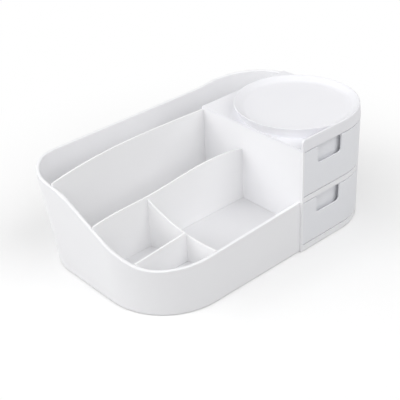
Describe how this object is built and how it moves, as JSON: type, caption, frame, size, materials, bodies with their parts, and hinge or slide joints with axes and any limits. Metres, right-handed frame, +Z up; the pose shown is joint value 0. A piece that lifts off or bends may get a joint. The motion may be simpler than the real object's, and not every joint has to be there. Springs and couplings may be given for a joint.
{
  "type": "desk organizer",
  "caption": "Flared desk organizer with drop-in dividers, a rear pen slot, a drawer tower with a wrapped round corner and a round dish on top.",
  "frame": {"origin": "bottom centre of the bounding box, on the plane the feet stand on", "axes": "+X along the long side towards the drawer tower, -Y is the front that the drawers open to, +Z up"},
  "size_m": [0.262, 0.159, 0.105],
  "materials": {
    "wall_plastic": "semi-matte moulded white",
    "divider_plastic": "semi-matte moulded white",
    "cover_plastic": "semi-matte moulded white",
    "drawer_plastic": "semi-matte moulded white",
    "foot_rubber": "matte grey"
  },
  "bodies": {
    "base": {"outer_wall": "wall_plastic", "tray_floor": "wall_plastic", "long_divider": "divider_plastic", "middle_divider": "divider_plastic", "cross_divider": "divider_plastic", "small_divider": "divider_plastic", "pen_partition": "divider_plastic", "drawer_cabinet": "wall_plastic", "top_cover": "cover_plastic", "rubber_feet": "foot_rubber"},
    "upper_drawer": {"upper_drawer_box": "drawer_plastic", "upper_drawer_front": "drawer_plastic"},
    "lower_drawer": {"lower_drawer_box": "drawer_plastic", "lower_drawer_front": "drawer_plastic"}
  },
  "joints": [
    {"name": "upper_drawer_slide", "type": "slide", "parent": "base", "child": "upper_drawer", "axis": [0, -1, 0], "range_m": [0, 0.08]},
    {"name": "lower_drawer_slide", "type": "slide", "parent": "base", "child": "lower_drawer", "axis": [0, -1, 0], "range_m": [0, 0.08]}
  ]
}
